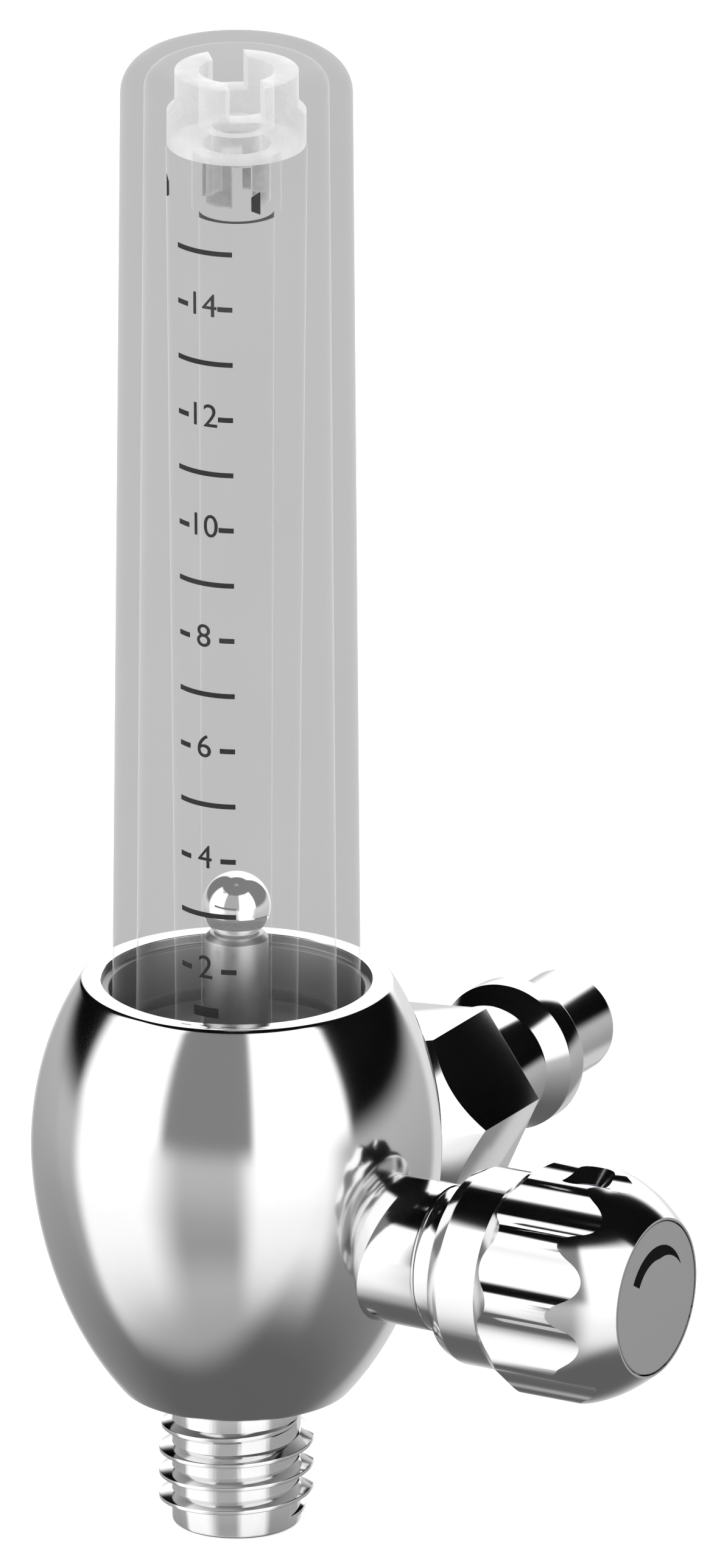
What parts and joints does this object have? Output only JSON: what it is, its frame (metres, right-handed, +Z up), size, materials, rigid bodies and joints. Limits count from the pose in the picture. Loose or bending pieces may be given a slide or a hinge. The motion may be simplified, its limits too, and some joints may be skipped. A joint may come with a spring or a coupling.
{
  "type": "rotameter",
  "caption": "Medical gas flowmeter: clear tapered tube with a ball float on a chromed egg-shaped body, with a side needle-valve knob, a rear plug-in probe and a threaded outlet below.",
  "frame": {"origin": "centre of the inlet probe's end face, which plugs into the wall outlet", "axes": "+Z up along the flow tube, +X along the valve towards the knob, +Y along the probe towards the wall"},
  "size_m": [0.0635, 0.0815, 0.1431],
  "materials": {
    "chrome": "mirror polished chrome plate on brass",
    "clear": "clear polycarbonate, see-through",
    "rubber": "matt black",
    "brass": "turned, plain",
    "steel": "polished stainless",
    "nylon": "white nylon",
    "blued_steel": "blued, satin",
    "label": "grey disc with a dark arc",
    "bronze": "sintered, rough"
  },
  "bodies": {
    "housing": {"body": "chrome", "cover": "clear", "cover_o_ring": "rubber", "flow_tube": "clear", "tube_o_ring": "rubber", "ball_seat": "brass", "tube_cap": "clear", "outlet_nipple": "chrome", "nipple_o_ring": "rubber", "valve_bonnet": "chrome", "bonnet_o_ring": "rubber", "valve_seat": "nylon", "inlet_adaptor": "chrome", "inlet_o_ring": "rubber", "inlet_filter": "bronze", "inlet_probe": "chrome", "probe_o_ring": "rubber"},
    "spindle_carriage": {"spindle_o_ring": "rubber"},
    "knob_group": {"spindle": "steel", "knob": "chrome", "knob_set_screw": "blued_steel", "knob_disc": "label"},
    "float": {"float_ball": "steel"}
  },
  "joints": [
    {"name": "float_rise", "type": "slide", "parent": "housing", "child": "float", "axis": [0, 0, 1], "range_m": [0, 0.0668]},
    {"name": "spindle_travel", "type": "slide", "parent": "housing", "child": "spindle_carriage", "axis": [1, 0, 0], "range_m": [0, 0.0015]},
    {"name": "knob_turn", "type": "hinge", "parent": "spindle_carriage", "child": "knob_group", "pos_m": [0, -0.0625, 0], "axis": [1, 0, 0], "range_deg": [0, 540]}
  ],
  "couplings": [
    {"joint": "knob_turn", "follows": "spindle_travel", "rad_per_m": 6283.2}
  ]
}
